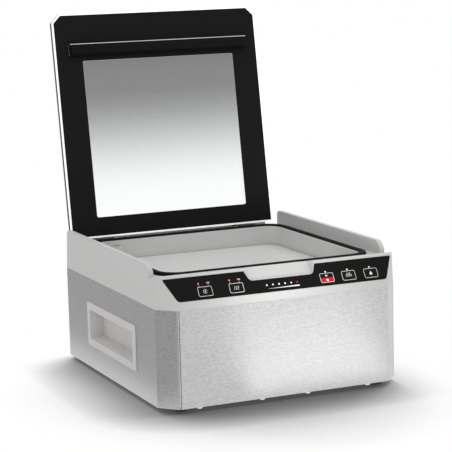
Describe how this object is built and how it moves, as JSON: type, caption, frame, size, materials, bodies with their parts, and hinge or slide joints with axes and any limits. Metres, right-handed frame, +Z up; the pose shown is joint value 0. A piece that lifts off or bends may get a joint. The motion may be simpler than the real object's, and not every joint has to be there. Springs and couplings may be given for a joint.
{
  "type": "chamber vacuum sealer",
  "caption": "Free-standing chamber vacuum sealer: steel cabinet, moulded top with a sloping key panel, gasketed chamber with a lifting seal bar, and a hinged glass lid.",
  "frame": {"origin": "middle of the ground that the cabinet and its open lid cover, on the plane the rubber feet stand on", "axes": "+Z up, -Y towards the front with the control panel, +X to the right of someone facing the front"},
  "size_m": [0.363, 0.4552, 0.516],
  "materials": {
    "stainless": "brushed, satin",
    "housing_grey": "fine satin moulding, light grey",
    "handle_grey": "satin moulding, warm light grey",
    "overlay_black": "semi-gloss printed film, black",
    "key_black": "semi-gloss film over a key, black",
    "key_red": "semi-gloss film over a key, red lower half",
    "lens_white": "clear white lamp lens",
    "lens_red": "red lamp lens",
    "rubber_black": "matt moulded rubber",
    "gasket_black": "soft satin rubber",
    "tub_grey": "satin light grey",
    "tower_grey": "satin grey moulding",
    "strainer_dark": "dark satin moulding",
    "filler_white": "satin off-white sheet",
    "bar_dark": "dark heat-resistant laminate",
    "heating_alloy": "bright resistance strip",
    "tape_brown": "coated glass-cloth tape",
    "lift_metal": "turned",
    "lid_glass": "clear tempered glass with polished bevel",
    "border_black": "black ceramic print",
    "holder_black": "black satin extrusion",
    "pad_black": "black silicone",
    "arm_black": "black satin paint",
    "pin_steel": "ground steel",
    "screw_steel": "bright plated",
    "pump_metal": "die-cast",
    "motor_dark": "dark enamel",
    "hose_black": "matt hose",
    "board_green": "solder mask",
    "winding_copper": "varnished",
    "valve_black": "moulded",
    "sensor_blue": "moulded",
    "fan_black": "moulded",
    "socket_black": "moulded",
    "contact_metal": "plated blade",
    "rocker_red": "semi-gloss moulding"
  },
  "bodies": {
    "base": {"side_left": "stainless", "side_right": "stainless", "front_panel": "stainless", "back_panel": "stainless", "base_plate": "stainless", "base_screws": "screw_steel", "feet": "rubber_black", "foot_screws": "screw_steel", "back_screws": "screw_steel", "upper_housing": "housing_grey", "chamber_tub": "tub_grey", "lid_gasket": "gasket_black", "control_overlay": "overlay_black", "white_lenses": "lens_white", "red_lenses": "lens_red", "control_board": "board_green", "tact_switches": "valve_black", "handle_left": "handle_grey", "handle_right": "handle_grey", "suction_tower": "tower_grey", "tower_strainer": "strainer_dark", "lift_cylinders": "lift_metal", "hinge_pins": "pin_steel", "pump_motor": "motor_dark", "pump_heads": "pump_metal", "pump_bracket": "stainless", "pump_mounts": "rubber_black", "suction_hose": "hose_black", "transformer": "winding_copper", "power_board": "board_green", "board_standoffs": "screw_steel", "solenoid_valves": "valve_black", "pressure_sensor": "sensor_blue", "fan_frame": "fan_black", "power_inlet": "socket_black", "inlet_pins": "contact_metal", "switch_frame": "socket_black"},
    "lid": {"lid_glass": "lid_glass", "lid_border": "border_black", "pad_holder": "holder_black", "pressure_pad": "pad_black", "hinge_arms": "arm_black"},
    "seal_bar": {"seal_bar": "bar_dark", "heating_strip": "heating_alloy", "seal_tape": "tape_brown", "lift_pistons": "lift_metal"},
    "filler_plates": {"filler_plate_lower": "filler_white", "filler_plate_upper": "filler_white"},
    "key_vacuum": {"key_vacuum": "key_black"},
    "key_sealing": {"key_sealing": "key_black"},
    "key_start": {"key_start": "key_red"},
    "key_seal": {"key_seal": "key_black"},
    "key_marinate": {"key_marinate": "key_black"},
    "rocker": {"rocker": "rocker_red"},
    "fan_rotor": {"fan_rotor": "fan_black"}
  },
  "joints": [
    {"name": "lid_hinge", "type": "hinge", "parent": "base", "child": "lid", "pos_m": [0, 0.15172, 0.1742], "axis": [1, 0, 0], "range_deg": [0, 99.5]},
    {"name": "seal_bar_lift", "type": "slide", "parent": "base", "child": "seal_bar", "axis": [0, 0, 1], "range_m": [0, 0.005]},
    {"name": "filler_lift", "type": "slide", "parent": "base", "child": "filler_plates", "axis": [0, 0, 1], "range_m": [0, 0.03]},
    {"name": "key_vacuum_press", "type": "slide", "parent": "base", "child": "key_vacuum", "axis": [0, 0.8549, -0.5188], "range_m": [0, 0.0006], "stiffness_N_per_m": 1500},
    {"name": "key_sealing_press", "type": "slide", "parent": "base", "child": "key_sealing", "axis": [0, 0.8549, -0.5188], "range_m": [0, 0.0006], "stiffness_N_per_m": 1500},
    {"name": "key_start_press", "type": "slide", "parent": "base", "child": "key_start", "axis": [0, 0.8549, -0.5188], "range_m": [0, 0.0006], "stiffness_N_per_m": 1500},
    {"name": "key_seal_press", "type": "slide", "parent": "base", "child": "key_seal", "axis": [0, 0.8549, -0.5188], "range_m": [0, 0.0006], "stiffness_N_per_m": 1500},
    {"name": "key_marinate_press", "type": "slide", "parent": "base", "child": "key_marinate", "axis": [0, 0.8549, -0.5188], "range_m": [0, 0.0006], "stiffness_N_per_m": 1500},
    {"name": "rocker_tilt", "type": "hinge", "parent": "base", "child": "rocker", "pos_m": [-0.084, 0.17542, 0.049], "axis": [1, 0, 0], "range_deg": [0, 14]},
    {"name": "fan_spin", "type": "hinge", "parent": "base", "child": "fan_rotor", "pos_m": [0.064, 0.16942, 0.069], "axis": [0, 1, 0], "continuous": true}
  ]
}
